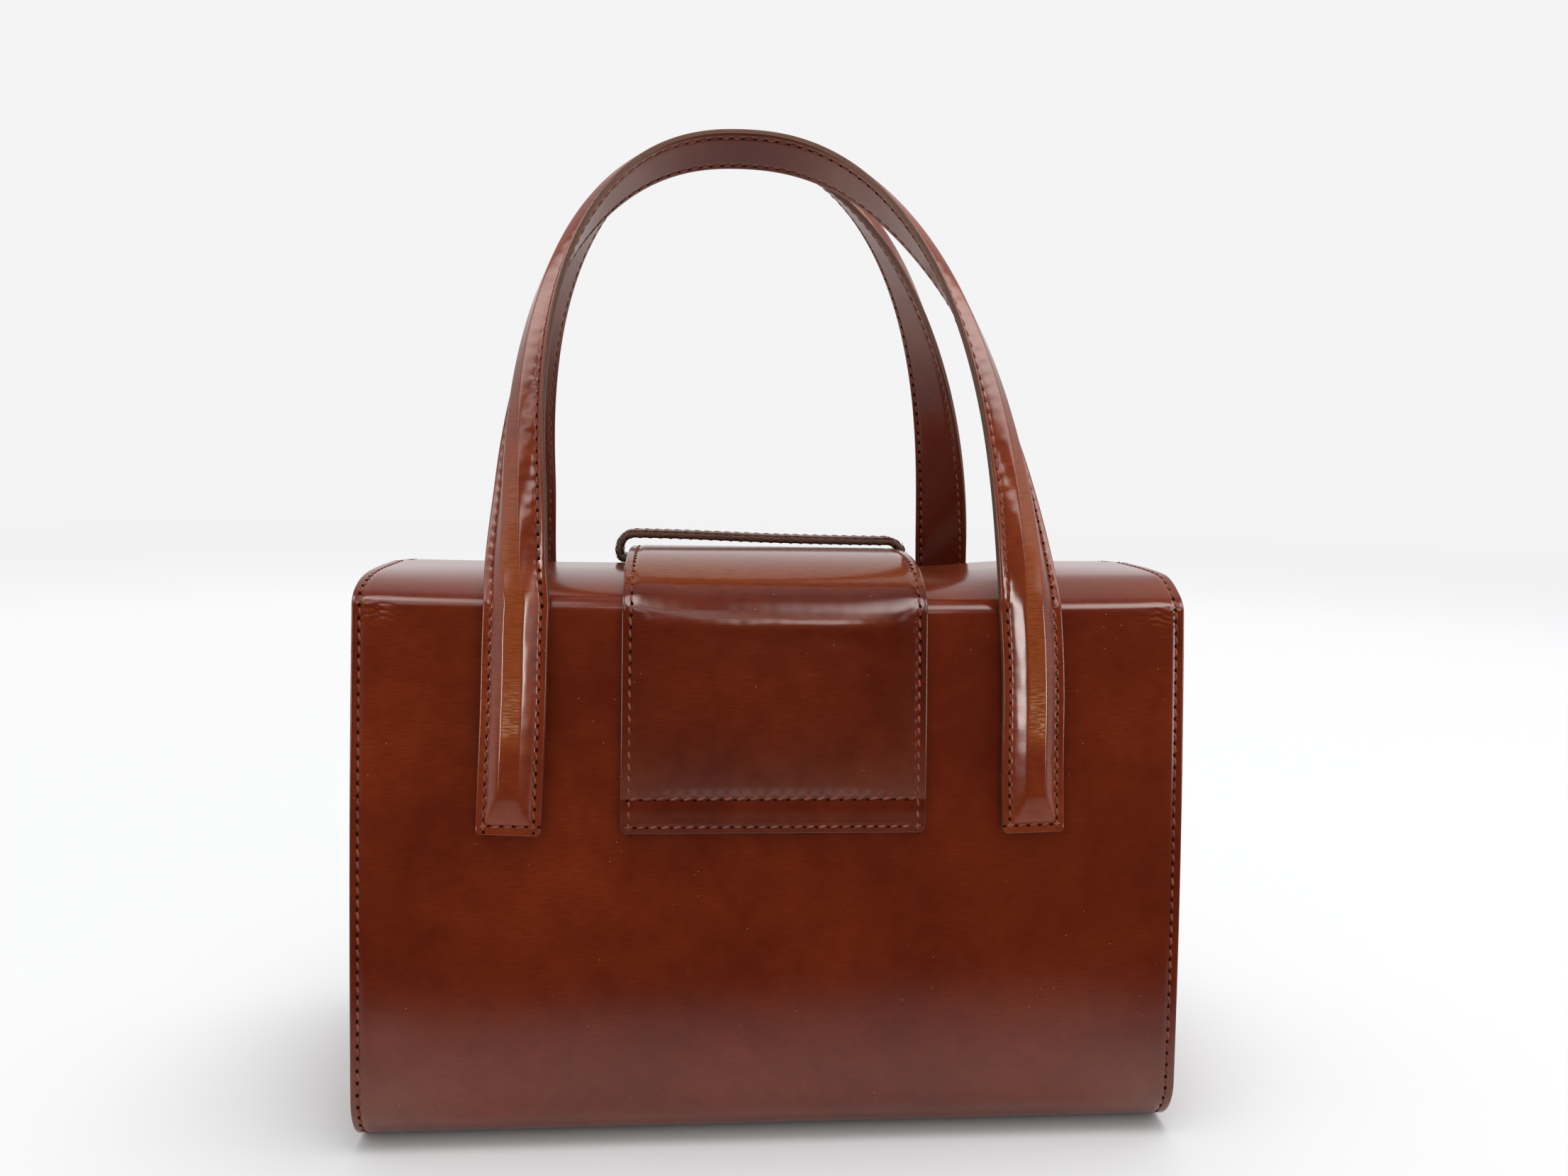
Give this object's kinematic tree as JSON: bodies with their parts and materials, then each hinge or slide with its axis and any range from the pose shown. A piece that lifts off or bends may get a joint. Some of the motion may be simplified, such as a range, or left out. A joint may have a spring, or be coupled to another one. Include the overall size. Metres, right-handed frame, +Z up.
{
  "type": "handbag",
  "caption": "Structured leather top-handle handbag with a wrapped body, inset end gussets, a broad closure tab through a keeper loop, and twin cored strap handles.",
  "frame": {"origin": "middle of the flat base, on the surface the bag stands on", "axes": "+Z up, X along the width, -Y towards the back, where the closure tab's sewn end lies"},
  "size_m": [0.26, 0.1171, 0.3255],
  "materials": {
    "body_leather": "glazed chestnut calf, glossy",
    "gusset_leather": "glazed chestnut calf, glossy",
    "tab_leather": "glazed chestnut calf, glossy",
    "keeper_leather": "dark brown edge-painted leather",
    "handle_leather": "glazed chestnut calf, worn on the core"
  },
  "bodies": {
    "root": {"body_wrap": "body_leather", "gusset_left": "gusset_leather", "gusset_right": "gusset_leather", "closure_tab": "tab_leather", "keeper_loop": "keeper_leather", "handle_back": "handle_leather", "handle_front": "handle_leather"}
  },
  "joints": []
}
